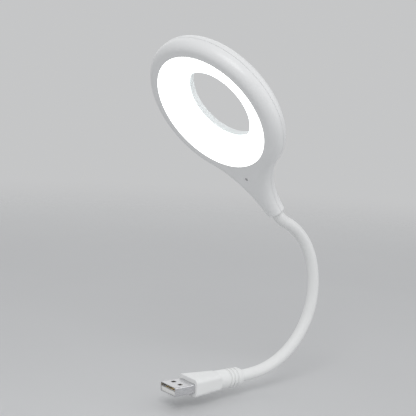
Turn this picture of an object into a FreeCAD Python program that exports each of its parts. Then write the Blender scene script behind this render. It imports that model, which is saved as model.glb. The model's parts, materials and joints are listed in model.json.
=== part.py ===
import FreeCAD, Part
import math
import os
import Sketcher
from FreeCAD import Placement, Rotation, Vector

# Reading lamp on a USB plug: a moulded plug, a flexible neck of jointed spans and a lit ring.
# Millimetres. Origin at the centre of the plug's front face, +X along the plug to the neck, +Z up.

doc = FreeCAD.newDocument("reading_lamp")
sheet = doc.addObject("Spreadsheet::Sheet", "sizes")
named_sizes = []
pieces = []

X_AXIS = Vector(1, 0, 0)
Y_AXIS = Vector(0, 1, 0)
Z_AXIS = Vector(0, 0, 1)
UNTURNED = Rotation()
ALONG_X = Rotation(Y_AXIS, 90)
ALONG_Y = Rotation(X_AXIS, -90)


# Sizes that carry both a number and an expression over the sheet

class Size:
    """A number and the expression that gives it from the sheet's aliases."""

    def __init__(self, text, number):
        self.text = text
        self.number = number

    def __add__(self, other):
        other = as_size(other)
        return Size(f"({self.text} + {other.text})", self.number + other.number)

    def __sub__(self, other):
        other = as_size(other)
        return Size(f"({self.text} - {other.text})", self.number - other.number)

    def __mul__(self, other):
        other = as_size(other)
        return Size(f"({self.text} * {other.text})", self.number * other.number)

    def __truediv__(self, other):
        other = as_size(other)
        return Size(f"({self.text} / {other.text})", self.number / other.number)

    def __rmul__(self, other):
        return as_size(other) * self

    def __rsub__(self, other):
        return as_size(other) - self

    def __neg__(self):
        return Size(f"(0 - {self.text})", -self.number)


def as_size(value):
    return value if isinstance(value, Size) else Size(str(value), value)


def size(alias, number):
    """Write one driving dimension into the sheet."""
    named_sizes.append(alias)
    cell = f"B{len(named_sizes)}"
    sheet.set(f"A{len(named_sizes)}", alias)
    sheet.set(cell, str(number))
    sheet.setAlias(cell, alias)
    return Size(f"sizes.{alias}", number)


def root(value):
    return Size(f"sqrt({value.text})", math.sqrt(value.number))


def larger(first, second):
    second = as_size(second)
    return Size(f"max({first.text}; {second.text})", max(first.number, second.number))


def smaller(first, second):
    return Size(f"min({first.text}; {second.text})", min(first.number, second.number))


def sine(angle):
    return Size(f"sin({angle.text})", math.sin(math.radians(angle.number)))


def cosine(angle):
    return Size(f"cos({angle.text})", math.cos(math.radians(angle.number)))


def arc_angle(value):
    return Size(f"atan({value.text})", math.degrees(math.atan(value.number)))


ZERO = Size("0", 0)
RADIAN = Size("(180 / pi)", 180 / math.pi)

# Fits
fit_gap = size("fit_gap", 0.05)
ball_gap = size("ball_gap", 0.3)
board_gap = size("board_gap", 0.5)
cut_overrun = size("cut_overrun", 2.0)

# USB-A plug
usb_width = size("usb_width", 12.0)
usb_height = size("usb_height", 4.5)
usb_reach = size("usb_reach", 11.75)
usb_grip = size("usb_grip", 8.0)
usb_sheet = size("usb_sheet", 0.3)
usb_corner = size("usb_corner", 0.65)
latch_side = size("latch_side", 2.2)
latch_pitch = size("latch_pitch", 5.4)
latch_setback = size("latch_setback", 5.2)
tongue_height = size("tongue_height", 1.84)
tongue_setback = size("tongue_setback", 0.5)
contact_width = size("contact_width", 1.0)
contact_thickness = size("contact_thickness", 0.25)
contact_setback = size("contact_setback", 1.2)
contact_tail = size("contact_tail", 1.5)
inner_contact_pitch = size("inner_contact_pitch", 2.0)
outer_contact_pitch = size("outer_contact_pitch", 7.0)

# Moulded grip and its round collar
grip_length = size("grip_length", 17.4)
grip_width = size("grip_width", 15.0)
grip_height = size("grip_height", 8.8)
grip_end_width = size("grip_end_width", 10.2)
grip_end_height = size("grip_end_height", 8.2)
grip_round = size("grip_round", 2.2)
collar_diameter = size("collar_diameter", 9.6)
collar_length = size("collar_length", 15.1)
collar_mouth_diameter = size("collar_mouth_diameter", 7.6)
collar_chamfer = size("collar_chamfer", 2.2)
groove_setback = size("groove_setback", 5.8)
groove_width = size("groove_width", 1.1)
groove_depth = size("groove_depth", 0.7)
groove_pitch = size("groove_pitch", 2.2)
mould_length = size("mould_length", 6.0)
mould_wall = size("mould_wall", 0.6)

# Flexible neck
neck_diameter = size("neck_diameter", 6.0)
root_span = size("root_span", 10.0)
middle_span = size("middle_span", 15.0)
top_span = size("top_span", 9.0)
core_diameter = size("core_diameter", 1.8)
core_tail = size("core_tail", 2.0)
lead_diameter = size("lead_diameter", 1.2)
lead_pitch = size("lead_pitch", 3.4)
ferrule_length = size("ferrule_length", 5.0)
ferrule_wall = size("ferrule_wall", 0.4)
ferrule_rim = size("ferrule_rim", 0.6)
ferrule_rim_thickness = size("ferrule_rim_thickness", 1.0)

# Head shells and diffuser
ring_diameter = size("ring_diameter", 76.8)
head_thickness = size("head_thickness", 10.8)
bezel_width = size("bezel_width", 6.8)
lit_width = size("lit_width", 11.5)
shell_wall = size("shell_wall", 1.5)
edge_round = size("edge_round", 4.2)
hole_round = size("hole_round", 1.2)
back_rise = size("back_rise", 3.8)
parting_depth = size("parting_depth", 6.0)
tail_straight = size("tail_straight", 2.0)
tail_wall = size("tail_wall", 1.4)
taper_setback = size("taper_setback", 2.4)
mouth_length = size("mouth_length", 5.0)
diffuser_wall = size("diffuser_wall", 1.2)
diffuser_depth = size("diffuser_depth", 4.7)
diffuser_rim = size("diffuser_rim", 5.9)

# Boards and what they carry
led_board_thickness = size("led_board_thickness", 1.2)
led_boss_height = size("led_boss_height", 0.8)
led_length = size("led_length", 3.5)
led_width = size("led_width", 2.8)
led_height = size("led_height", 0.8)
control_board_length = size("control_board_length", 13.0)
control_board_thickness = size("control_board_thickness", 1.0)
pad_length = size("pad_length", 3.0)
jumper_run = size("jumper_run", 3.55)
head_lead_run = size("head_lead_run", 7.15)
boss_diameter = size("boss_diameter", 3.2)
screw_diameter = size("screw_diameter", 1.8)
screw_length = size("screw_length", 3.0)
screw_head_diameter = size("screw_head_diameter", 3.0)
screw_head_height = size("screw_head_height", 1.0)
mic_hole_diameter = size("mic_hole_diameter", 1.8)
mic_diameter = size("mic_diameter", 6.0)
mic_height = size("mic_height", 2.6)
boot_wall = size("boot_wall", 1.0)
chip_length = size("chip_length", 5.0)
chip_width = size("chip_width", 4.0)
chip_height = size("chip_height", 1.4)
chip_lead_reach = size("chip_lead_reach", 1.0)
chip_lead_width = size("chip_lead_width", 0.4)
chip_lead_pitch = size("chip_lead_pitch", 1.27)
small_part_length = size("small_part_length", 1.6)
small_part_width = size("small_part_width", 0.8)
small_part_height = size("small_part_height", 0.5)

# How far each span of the neck turns at rest, in degrees, from the plug to the head
bend_angles = (6.7, 19.5, 21.1, 21.3, 21.7, 18.5, 23.1, 24.6, -30.1)
span_bends = [size(f"span_bend_{number}", angle) for number, angle in enumerate(bend_angles, 1)]
span_lengths = [root_span] + [middle_span] * (len(span_bends) - 2) + [top_span]

# How far the last span, and then the head, is turned about the neck's own line, in degrees
top_roll = size("top_roll", 6.0)
head_twist = size("head_twist", 0.7)

GROOVES = 3
LEDS = 24
LED_SCREWS = 3
CHIP_LEADS_PER_SIDE = 4
SMALL_PARTS_PER_SIDE = 3


# Building blocks

def bind(thing, **values):
    for name, value in values.items():
        thing.setExpression(name, as_size(value).text)
    return thing


def place(thing, x=ZERO, y=ZERO, z=ZERO, turn=UNTURNED):
    thing.Placement = Placement(Vector(x.number, y.number, z.number), turn)
    for axis, value in (("x", x), ("y", y), ("z", z)):
        if value is not ZERO:
            thing.setExpression(f"Placement.Base.{axis}", value.text)
    return thing


def box(name, sizes, centre):
    """Box with its middle at a given point."""
    thing = bind(doc.addObject("Part::Box", name), Length=sizes[0], Width=sizes[1], Height=sizes[2])
    corner = [as_size(middle) - as_size(side) / 2 for middle, side in zip(centre, sizes)]
    return place(thing, *corner)


def cylinder(name, radius, length, x=ZERO, y=ZERO, z=ZERO, turn=UNTURNED):
    thing = bind(doc.addObject("Part::Cylinder", name), Radius=radius, Height=length)
    return place(thing, x, y, z, turn)


def bent_rod(name, radius, bend_radius, angle, z=ZERO):
    """Round rod from the origin along +X that curls towards +Y."""
    thing = bind(doc.addObject("Part::Torus", name), Radius1=bend_radius, Radius2=radius, Angle3=angle)
    return place(thing, ZERO, bend_radius, z, Rotation(Z_AXIS, -90))


def fuse(name, *things):
    thing = doc.addObject("Part::MultiFuse", name)
    thing.Shapes = list(things)
    return thing


def cut(name, base, *tools):
    for number, tool in enumerate(tools, 1):
        thing = doc.addObject("Part::Cut", f"{name}_{number}")
        thing.Base = base
        thing.Tool = tool
        base = thing
    return base


def common(name, first, second):
    thing = doc.addObject("Part::Common", name)
    thing.Base = first
    thing.Tool = second
    return thing


def group(name, things):
    thing = doc.addObject("Part::Compound", name)
    thing.Links = list(things)
    return thing


def piece(label, thing, frame):
    """Set a finished sub-part in its place under its node's name."""
    if not thing.Placement.isIdentity():
        thing = group(f"{label}_held", [thing])
    thing.Placement = frame
    thing.Label = label
    pieces.append(thing)


def new_sketch(body, name, role, offset=ZERO):
    plane = next(item for item in body.Origin.OriginFeatures if item.Role == role)
    sketch = body.newObject("Sketcher::SketchObject", name)
    sketch.AttachmentSupport = (plane, [""])
    sketch.MapMode = "FlatFace"
    if offset is not ZERO:
        sketch.setExpression("AttachmentOffset.Base.z", offset.text)
    return sketch


def hold(sketch, constraint, value):
    number = sketch.addConstraint(constraint)
    sketch.setExpression(f"Constraints[{number}]", value.text)


def outline(sketch, corners, arcs=None):
    """Closed loop through corners; arcs gives a side's centre, radius and direction by its number."""
    arcs = arcs or {}
    ends = []
    for number, corner in enumerate(corners):
        following = corners[(number + 1) % len(corners)]
        here = Vector(corner[0].number, corner[1].number, 0)
        there = Vector(following[0].number, following[1].number, 0)
        if number in arcs:
            centre_x, centre_y, radius, anticlockwise = arcs[number]
            centre = Vector(centre_x.number, centre_y.number, 0)
            circle = Part.Circle(centre, Z_AXIS, radius.number)
            first, last = (here, there) if anticlockwise else (there, here)
            start = math.atan2(first.y - centre.y, first.x - centre.x)
            stop = math.atan2(last.y - centre.y, last.x - centre.x)
            side = sketch.addGeometry(Part.ArcOfCircle(circle, start, stop), False)
            hold(sketch, Sketcher.Constraint("Radius", side, radius.number), radius)
            ends.append((side, 1, 2) if anticlockwise else (side, 2, 1))
        else:
            side = sketch.addGeometry(Part.LineSegment(here, there), False)
            ends.append((side, 1, 2))
    for number, corner in enumerate(corners):
        side, start, _ = ends[number]
        before, _, stop = ends[number - 1]
        sketch.addConstraint(Sketcher.Constraint("Coincident", before, stop, side, start))
        for axis, kind, value in ((-2, "DistanceX", corner[0]), (-1, "DistanceY", corner[1])):
            if value is ZERO:
                sketch.addConstraint(Sketcher.Constraint("PointOnObject", side, start, axis))
            else:
                hold(sketch, Sketcher.Constraint(kind, -1, 1, side, start, value.number), value)


def rounded_rectangle(sketch, width, height, corner):
    """Centred rectangle with round corners."""
    half_x = width / 2
    half_y = height / 2
    near_x = half_x - corner
    near_y = half_y - corner
    corners = [(near_x, -half_y), (half_x, -near_y), (half_x, near_y), (near_x, half_y),
               (-near_x, half_y), (-half_x, near_y), (-half_x, -near_y), (-near_x, -half_y)]
    arcs = {0: (near_x, -near_y, corner, True), 2: (near_x, near_y, corner, True),
            4: (-near_x, near_y, corner, True), 6: (-near_x, -near_y, corner, True)}
    outline(sketch, corners, arcs)


def pad(body, sketch, length):
    feature = body.newObject("PartDesign::Pad", f"{sketch.Name}_pad")
    feature.Profile = sketch
    return bind(feature, Length=length)


def turn_profile(body, sketch, axis):
    feature = body.newObject("PartDesign::Revolution", f"{sketch.Name}_turned")
    feature.Profile = sketch
    feature.ReferenceAxis = (sketch, [axis])
    feature.Angle = 360
    return feature


def swerving_lead(name, radius, lead_in, run, shift, lead_out):
    """Round lead along +X that moves over by a shift in +Y with two equal arcs."""
    bend_radius = (run * run + shift * shift) / (4 * shift)
    angle = 2 * arc_angle(shift / run)
    first = bent_rod(f"{name}_first_arc", radius, bend_radius, angle)
    second = bent_rod(f"{name}_second_arc", radius, bend_radius, angle)
    place(second, run, shift - bend_radius, ZERO, Rotation(Z_AXIS, 90))
    ahead = cylinder(f"{name}_in", radius, lead_in, -lead_in, ZERO, ZERO, ALONG_X)
    behind = cylinder(f"{name}_out", radius, lead_out, run, shift, ZERO, ALONG_X)
    return fuse(name, ahead, first, second, behind)


def mirrored_pair(name, make, middle, offset, frame):
    """Two copies at plus and minus an offset in Y, the first turned over so that both curl inwards."""
    pair = []
    for side, tilt in ((1, 180), (-1, 0)):
        thing = make(f"{name}_{'left' if side > 0 else 'right'}")
        spot = Placement(Vector(middle.number, side * offset.number, 0), Rotation(X_AXIS, tilt))
        thing.Placement = frame.multiply(spot)
        pair.append(thing)
    return pair


# Values shared by several pieces
neck_radius = neck_diameter / 2
core_radius = core_diameter / 2
lead_radius = lead_diameter / 2
lead_offset = lead_pitch / 2
bore_radius = neck_radius + fit_gap
ferrule_radius = bore_radius + ferrule_wall
ferrule_rim_radius = bore_radius + ferrule_rim
neck_insert = mouth_length + ferrule_length
collar_end = grip_length + collar_length
neck_foot = collar_end - neck_insert
ring_radius = ring_diameter / 2
lit_radius = ring_radius - bezel_width
hole_radius = lit_radius - lit_width
half_head = head_thickness / 2
tail_half = bore_radius + tail_wall
neck_axis = tail_half - half_head
outer_round = smaller(edge_round, tail_half - fit_gap)
led_board_outer = ring_radius - outer_round - board_gap
jumper_landing = led_board_outer - 2 * lead_diameter
control_board_start = jumper_landing + jumper_run
control_board_end = control_board_start + control_board_length
tail_reach = control_board_end + head_lead_run + neck_insert
flank_reach = tail_reach - tail_straight
flank_radius = ((tail_half * tail_half + flank_reach * flank_reach - ring_radius * ring_radius)
                / (2 * (ring_radius - tail_half)))
taper_reach = ring_radius - taper_setback
taper_run = tail_reach - taper_reach
taper_drop = head_thickness - 2 * tail_half
taper_radius = (taper_run * taper_run + taper_drop * taper_drop) / (2 * taper_drop)
taper_centre = half_head - taper_radius
parting_height = half_head - parting_depth
front_inside = half_head - shell_wall
back_inside = shell_wall - half_head
face_height = half_head - diffuser_depth
rim_height = face_height - diffuser_rim
back_height = -half_head - back_rise
led_board_bottom = back_inside + led_boss_height
led_board_top = led_board_bottom + led_board_thickness
led_board_inner = hole_radius + shell_wall + board_gap
led_circle = (led_board_inner + jumper_landing - lead_diameter) / 2
led_screw_circle = led_board_outer - board_gap - screw_head_diameter / 2
boot_radius = mic_diameter / 2 + fit_gap + boot_wall
mic_reach = control_board_start + board_gap + boot_radius
control_board_back = neck_axis + lead_radius + fit_gap
control_board_front = control_board_back + control_board_thickness
boss_radius = boss_diameter / 2
rise_start = hole_radius + hole_round
rise_run = led_screw_circle - boss_radius - board_gap - rise_start
rise_curve = (rise_run * rise_run + back_rise * back_rise) / (2 * back_rise)
rise_centre = back_height + rise_curve
screw_radius = screw_diameter / 2
pilot_radius = screw_radius + fit_gap


def flank(reach):
    """Half width of the tail at a distance from the ring's centre."""
    along = flank_reach - reach
    return tail_half + flank_radius - root(flank_radius * flank_radius - along * along)


def inside_height(reach):
    """Height of the front wall's inner face above the middle plane at a distance from the ring's centre."""
    radius = taper_radius - shell_wall
    along = larger(reach - taper_reach, 0)
    return taper_centre + root(radius * radius - along * along)


control_board_half = flank(control_board_end) - shell_wall - board_gap
control_screw_x = control_board_half - boss_radius
control_screw_reach = control_board_end - boss_radius - board_gap
led_screw_angles = [90 + turn * 360 / LED_SCREWS for turn in range(LED_SCREWS)]
led_screw_spots = [(led_screw_circle.number * math.cos(math.radians(angle)),
                    led_screw_circle.number * math.sin(math.radians(angle))) for angle in led_screw_angles]
control_screw_spots = [(side * control_screw_x.number, -control_screw_reach.number) for side in (1, -1)]

# Frames of the neck's spans, and of the head at the neck's end

plug_frame = Placement()
lying = Rotation(X_AXIS, 90)
span_frames = []
spot = Vector(collar_end.number, 0, 0)
facing = UNTURNED
for length, bend in zip(span_lengths, span_bends):
    if len(span_frames) == len(span_bends) - 1:
        facing = facing.multiply(Rotation(X_AXIS, top_roll.number))
    flip = Rotation(X_AXIS, 0 if bend.number > 0 else 180)
    span_frames.append(Placement(spot, facing.multiply(lying).multiply(flip)))
    bend_radius_now = length.number / math.radians(bend.number)
    ahead_now = bend_radius_now * math.sin(math.radians(bend.number))
    aside_now = bend_radius_now * (1 - math.cos(math.radians(bend.number)))
    spot = spot + facing.multVec(Vector(ahead_now, 0, aside_now))
    facing = facing.multiply(Rotation(-Y_AXIS, bend.number))
head_turn = facing.multiply(Rotation(Z_AXIS, -90)).multiply(Rotation(Y_AXIS, head_twist.number))
head_frame = Placement(spot + head_turn.multVec(Vector(0, tail_reach.number, -neck_axis.number)), head_turn)


# Plug: steel shell, tongue, contacts, inner moulding, leads, ferrule and moulded grip

def make_usb_shell():
    body = doc.addObject("PartDesign::Body", "usb_shell_body")
    section = new_sketch(body, "usb_shell_section", "YZ_Plane", -usb_reach)
    rounded_rectangle(section, usb_width, usb_height, usb_corner)
    rounded_rectangle(section, usb_width - 2 * usb_sheet, usb_height - 2 * usb_sheet,
                      usb_corner - usb_sheet)
    pad(body, section, usb_reach + usb_grip)
    windows = []
    for side in (1, -1):
        middle = (latch_setback - usb_reach, side * latch_pitch / 2, ZERO)
        opening = (latch_side, latch_side, usb_height + cut_overrun)
        windows.append(box(f"latch_window_{len(windows) + 1}", opening, middle))
    piece("usb_shell", cut("usb_shell_cut", body, *windows), plug_frame)


tongue_width = usb_width - 2 * (usb_sheet + fit_gap)
shell_floor = usb_sheet + fit_gap - usb_height / 2
tongue_top = shell_floor + tongue_height
contact_spots = (-outer_contact_pitch / 2, -inner_contact_pitch / 2,
                 inner_contact_pitch / 2, outer_contact_pitch / 2)
contact_start = tongue_setback + contact_setback - usb_reach
contact_end = usb_grip + contact_tail


def contact_strip(name, spot_y, gap):
    strip_length = contact_end - contact_start + gap
    middle = ((contact_start + contact_end + gap) / 2, spot_y, tongue_top + contact_thickness / 2)
    return box(name, (strip_length, contact_width + 2 * gap, contact_thickness + 2 * gap), middle)


def make_tongue():
    tongue_length = usb_reach - tongue_setback + usb_grip
    blade_middle = (usb_grip - tongue_length / 2, ZERO, shell_floor + tongue_height / 2)
    blade = box("tongue_blade", (tongue_length, tongue_width, tongue_height), blade_middle)
    block_height = usb_height - 2 * (usb_sheet + fit_gap)
    block = box("tongue_block", (usb_grip, tongue_width, block_height), (usb_grip / 2, ZERO, ZERO))
    slots = [contact_strip(f"contact_slot_{number}", spot_y, fit_gap)
             for number, spot_y in enumerate(contact_spots, 1)]
    round_edge = usb_corner - usb_sheet
    rounded = doc.addObject("PartDesign::Body", "tongue_bounds")
    section = new_sketch(rounded, "tongue_section", "YZ_Plane", -usb_reach)
    rounded_rectangle(section, tongue_width, block_height, round_edge)
    pad(rounded, section, usb_reach + usb_grip)
    whole = common("tongue_trimmed", fuse("tongue_whole", blade, block), rounded)
    piece("usb_tongue", cut("tongue_slotted", whole, *slots), plug_frame)


def make_contacts():
    strips = [contact_strip(f"contact_{number}", spot_y, ZERO)
              for number, spot_y in enumerate(contact_spots, 1)]
    piece("usb_contacts", group("contact_set", strips), plug_frame)


mould_end = usb_grip + fit_gap + mould_length
lead_run = mould_end - contact_end - lead_radius
lead_shift = outer_contact_pitch / 2 - lead_offset


def plug_lead(name, gap):
    return swerving_lead(name, lead_radius + gap, lead_radius, lead_run, lead_shift, neck_foot - mould_end)


def make_plug_leads():
    leads = mirrored_pair("plug_lead", lambda name: plug_lead(name, ZERO),
                          contact_end + lead_radius, outer_contact_pitch / 2, plug_frame)
    piece("plug_leads", group("plug_lead_set", leads), plug_frame)


mould_width = outer_contact_pitch + lead_diameter + 2 * mould_wall
mould_height = lead_diameter + 2 * mould_wall


def make_inner_mould():
    middle = (usb_grip + fit_gap + mould_length / 2, ZERO, ZERO)
    block = box("inner_mould_block", (mould_length, mould_width, mould_height), middle)
    bores = mirrored_pair("mould_bore", lambda name: plug_lead(name, fit_gap),
                          contact_end + lead_radius, outer_contact_pitch / 2, plug_frame)
    slots = [contact_strip(f"mould_slot_{number}", spot_y, fit_gap)
             for number, spot_y in enumerate(contact_spots, 1)]
    piece("inner_mould", cut("inner_mould_cut", block, *bores, *slots), plug_frame)


def ferrule(name):
    """Flanged sleeve round the neck's end, from the origin along +X, flange last."""
    sleeve = cylinder(f"{name}_sleeve", ferrule_radius, ferrule_length, ZERO, ZERO, ZERO, ALONG_X)
    rim = cylinder(f"{name}_rim", ferrule_rim_radius, ferrule_rim_thickness,
                   ferrule_length - ferrule_rim_thickness, ZERO, ZERO, ALONG_X)
    bore = cylinder(f"{name}_bore", bore_radius, ferrule_length + 2 * cut_overrun, -cut_overrun, ZERO, ZERO,
                    ALONG_X)
    return cut(name, fuse(f"{name}_solid", sleeve, rim), bore)


def ferrule_room(name):
    """Space that a ferrule needs, from the origin along +X."""
    sleeve = cylinder(f"{name}_sleeve", ferrule_radius + fit_gap, ferrule_length, ZERO, ZERO, ZERO, ALONG_X)
    rim = cylinder(f"{name}_rim", ferrule_rim_radius + fit_gap, ferrule_rim_thickness + 2 * fit_gap,
                   ferrule_length - ferrule_rim_thickness - fit_gap, ZERO, ZERO, ALONG_X)
    return fuse(name, sleeve, rim)


def make_grip():
    body = doc.addObject("PartDesign::Body", "grip_body")
    front = new_sketch(body, "grip_front", "YZ_Plane")
    rounded_rectangle(front, grip_width, grip_height, grip_round)
    back = new_sketch(body, "grip_back", "YZ_Plane", grip_length)
    rounded_rectangle(back, grip_end_width, grip_end_height, grip_round)
    loft = body.newObject("PartDesign::AdditiveLoft", "grip_loft")
    loft.Profile = front
    loft.Sections = [back]
    collar = new_sketch(body, "collar_profile", "XZ_Plane")
    collar_radius = collar_diameter / 2
    groove_floor = collar_radius - groove_depth
    collar_start = grip_length - collar_chamfer
    corners = [(collar_start, ZERO), (collar_end, ZERO), (collar_end, collar_mouth_diameter / 2),
               (collar_end - collar_chamfer, collar_radius)]
    for number in reversed(range(GROOVES)):
        near = grip_length + groove_setback + number * groove_pitch
        far = near + groove_width
        corners += [(far, collar_radius), (far, groove_floor), (near, groove_floor), (near, collar_radius)]
    corners += [(grip_length, collar_radius), (collar_start, grip_end_height / 2)]
    outline(collar, corners)
    turn_profile(body, collar, "H_Axis")
    pocket_length = usb_grip + fit_gap
    shell_sizes = (pocket_length + cut_overrun, usb_width + 2 * fit_gap, usb_height + 2 * fit_gap)
    shell_room = box("shell_room", shell_sizes, ((pocket_length - cut_overrun) / 2, ZERO, ZERO))
    mould_sizes = (mould_length + fit_gap, mould_width + 2 * fit_gap, mould_height + 2 * fit_gap)
    mould_room = box("mould_room", mould_sizes, (pocket_length + (mould_length + fit_gap) / 2, ZERO, ZERO))
    neck_room = cylinder("neck_room", bore_radius, collar_end - usb_grip - mould_length + cut_overrun,
                         usb_grip + mould_length, ZERO, ZERO, ALONG_X)
    rim_room = place(ferrule_room("lower_ferrule_room"), neck_foot)
    piece("plug_overmould", cut("grip_cut", body, shell_room, mould_room, neck_room, rim_room), plug_frame)


def make_lower_ferrule():
    crimp = ferrule("lower_ferrule_form")
    piece("lower_ferrule", crimp, Placement(Vector(neck_foot.number, 0, 0), UNTURNED))


# Neck: each span is a soft sleeve on a core wire and two leads, with a ball that the next span cups

def span_rods(number, name, radius, offset, foot, top):
    """One rod along a span, with straight ends of the given lengths where the span has them."""
    length = span_lengths[number]
    bend = span_bends[number]
    turn = bend if bend.number > 0 else -bend
    bend_radius = length * RADIAN / turn
    rods = [bent_rod(f"{name}_arc", radius, bend_radius, turn, offset)]
    if foot is not ZERO:
        rods.append(cylinder(f"{name}_foot", radius, foot, -foot, ZERO, offset, ALONG_X))
    if top is not ZERO:
        rods.append(cylinder(f"{name}_top", radius, top, bend_radius * sine(turn),
                             bend_radius * (1 - cosine(turn)), offset,
                             Rotation(Z_AXIS, turn.number).multiply(ALONG_X)))
    return rods


def joined(name, rods):
    return rods[0] if len(rods) == 1 else fuse(name, *rods)


def span_end_ball(number, name):
    turn = span_bends[number]
    bend_radius = span_lengths[number] * RADIAN / turn
    ball = bind(doc.addObject("Part::Sphere", name), Radius=neck_radius, Angle1=0, Angle2=90)
    return place(ball, bend_radius * sine(turn), bend_radius * (1 - cosine(turn)), ZERO,
                 Rotation(Z_AXIS, turn.number).multiply(ALONG_X))


def make_span(number):
    first = number == 0
    last = number == len(span_bends) - 1
    label = number + 1
    frame = span_frames[number]
    foot = neck_insert if first else ZERO
    top = neck_insert if last else ZERO
    core_foot = neck_insert + core_tail if first else ZERO
    core_top = neck_insert + core_tail if last else ZERO
    sleeve_parts = span_rods(number, f"sleeve_{label}", neck_radius, ZERO, foot, top)
    if not last:
        sleeve_parts.append(span_end_ball(number, f"ball_{label}"))
    core_bore = span_rods(number, f"core_bore_{label}", core_radius + fit_gap, ZERO, core_foot, core_top)
    bores = [joined(f"core_bore_{label}", core_bore)]
    core_rods = span_rods(number, f"core_{label}", core_radius, ZERO, core_foot, core_top)
    core = joined(f"core_rod_{label}", core_rods)
    leads = []
    for side, offset in (("left", lead_offset), ("right", -lead_offset)):
        lead_bore = span_rods(number, f"lead_bore_{label}_{side}", lead_radius + fit_gap, offset, foot, top)
        bores.append(joined(f"lead_bore_{label}_{side}", lead_bore))
        lead_rods = span_rods(number, f"lead_{label}_{side}", lead_radius, offset, foot, top)
        leads.append(joined(f"lead_rod_{label}_{side}", lead_rods))
    if not first:
        cup = bind(doc.addObject("Part::Sphere", f"cup_{label}"), Radius=neck_radius + ball_gap)
        bores.append(cup)
        core = cut(f"core_cut_{label}", core, cup)
        leads = [cut(f"lead_cut_{label}_{side}", lead, cup) for side, lead in enumerate(leads)]
    sleeve = cut(f"sleeve_cut_{label}", joined(f"sleeve_solid_{label}", sleeve_parts), *bores)
    piece(f"neck_sleeve_{label}", sleeve, frame)
    piece(f"neck_core_{label}", core, frame)
    piece(f"neck_leads_{label}", group(f"lead_set_{label}", leads), frame)


# Head shells: a flat teardrop with round edges, hollow, parted across its side

def head_form(name, inset, end_reach):
    """Solid teardrop, smaller all round by an inset, whose tail ends at a distance from the centre."""
    body = doc.addObject("PartDesign::Body", name)
    radius = ring_radius - inset
    half = tail_half - inset
    height = half_head - inset
    concave = flank_radius + inset
    away = half + concave
    touch_x = away * radius / (radius + concave)
    touch_y = -flank_reach * radius / (radius + concave)
    plan = new_sketch(body, f"{name}_plan", "XY_Plane", -height)
    corners = [(touch_x, touch_y), (-touch_x, touch_y), (-half, -flank_reach), (-half, -end_reach),
               (half, -end_reach), (half, -flank_reach)]
    arcs = {0: (ZERO, ZERO, radius, True), 1: (-away, -flank_reach, concave, False),
            5: (away, -flank_reach, concave, False)}
    if end_reach.number < flank_reach.number:
        short = flank_reach - end_reach
        end_half = half + concave - root(concave * concave - short * short)
        corners = [(touch_x, touch_y), (-touch_x, touch_y), (-end_half, -end_reach), (end_half, -end_reach)]
        arcs = {0: arcs[0], 1: arcs[1], 3: arcs[5]}
    outline(plan, corners, arcs)
    pad(body, plan, 2 * height)
    side = new_sketch(body, f"{name}_side", "YZ_Plane", -(ring_radius + cut_overrun))
    far = end_reach + cut_overrun
    curve = taper_radius - inset
    low = taper_centre + root(curve * curve - (far - taper_reach) * (far - taper_reach))
    high = half_head + cut_overrun
    corners_above = [(-taper_reach, height), (-taper_reach, high), (-far, high), (-far, low)]
    outline(side, corners_above, {3: (-taper_reach, taper_centre, curve, False)})
    taper = body.newObject("PartDesign::Pocket", f"{name}_taper")
    taper.Profile = side
    taper.Reversed = True
    bind(taper, Length=2 * (ring_radius + cut_overrun))
    doc.recompute()
    rims = []
    for index, edge in enumerate(taper.Shape.Edges, 1):
        along = edge.Curve.Direction if isinstance(edge.Curve, Part.Line) else Y_AXIS
        if abs(along.y) > max(abs(along.x), abs(along.z)):
            rims.append(f"Edge{index}")
    rounding = body.newObject("PartDesign::Fillet", f"{name}_round")
    rounding.Base = (taper, rims)
    bind(rounding, Radius=outer_round - inset)
    return body


def half_space(name, low, high):
    reach = 2 * (tail_reach + ring_radius)
    return box(name, (reach, reach, high - low), (ZERO, ZERO, (high + low) / 2))


def neck_entry(name):
    """Bore of the tail's mouth and the room for the ferrule behind it."""
    bore = cylinder(f"{name}_bore", bore_radius, mouth_length + 2 * cut_overrun,
                    ZERO, -tail_reach - cut_overrun, neck_axis, ALONG_Y)
    room = place(ferrule_room(f"{name}_room"), ZERO, mouth_length + ferrule_length - tail_reach, neck_axis,
                 Rotation(Z_AXIS, -90))
    return bore, room


def spot_cylinder(name, radius, bottom, top, spot_xy):
    """Upright cylinder at a place on a board."""
    thing = cylinder(name, radius, top - bottom, ZERO, ZERO, bottom)
    thing.Placement.Base = Vector(spot_xy[0], spot_xy[1], bottom.number)
    return thing


def rise_form(name, inset, level, top):
    """Round rim that stands out of the cover's back round the hole, smaller by an inset from a level down."""
    body = doc.addObject("PartDesign::Body", f"{name}_body")
    profile = new_sketch(body, f"{name}_profile", "XZ_Plane")
    curve = rise_curve - inset
    drop = rise_centre - level
    edge = rise_start + root(curve * curve - drop * drop)
    bottom = back_height + inset
    corners = [(ZERO, bottom), (rise_start, bottom), (edge, level), (edge, top), (ZERO, top)]
    outline(profile, corners, {1: (rise_start, rise_centre, curve, True)})
    turn_profile(body, profile, "V_Axis")
    return body


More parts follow.
